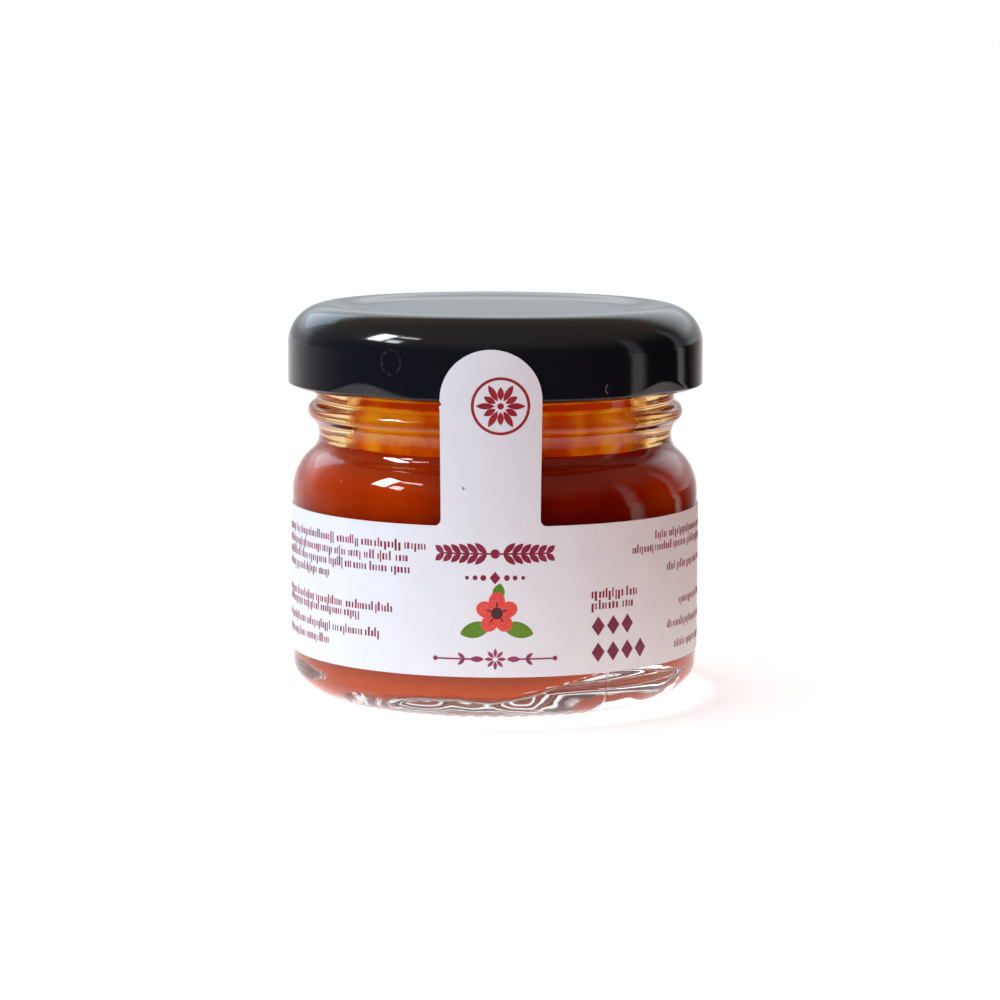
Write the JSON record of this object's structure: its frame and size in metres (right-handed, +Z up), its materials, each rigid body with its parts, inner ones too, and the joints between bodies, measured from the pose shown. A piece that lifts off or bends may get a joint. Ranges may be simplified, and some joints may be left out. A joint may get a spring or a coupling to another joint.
{
  "type": "jam jar",
  "caption": "Small round glass jar filled with jam to its shoulder, shut with a black twist-off cap and sealed by a paper label whose strap runs up over the cap.",
  "frame": {"origin": "on the jar's axis, at the level of the surface it stands on", "axes": "+Z up along the jar's axis, the label's strap and front face -Y, +X to the right seen from the front"},
  "size_m": [0.0456, 0.0458, 0.043],
  "materials": {
    "clear_glass": "clear pressed glass, polished",
    "jam": "wet amber-brown jelly, glossy",
    "cap_lacquer": "black gloss lacquer on tinplate",
    "label_paper": "white satin paper with dark red print"
  },
  "bodies": {
    "root": {"glass_jar": "clear_glass", "jam": "jam", "cap": "cap_lacquer", "label": "label_paper"}
  },
  "joints": []
}
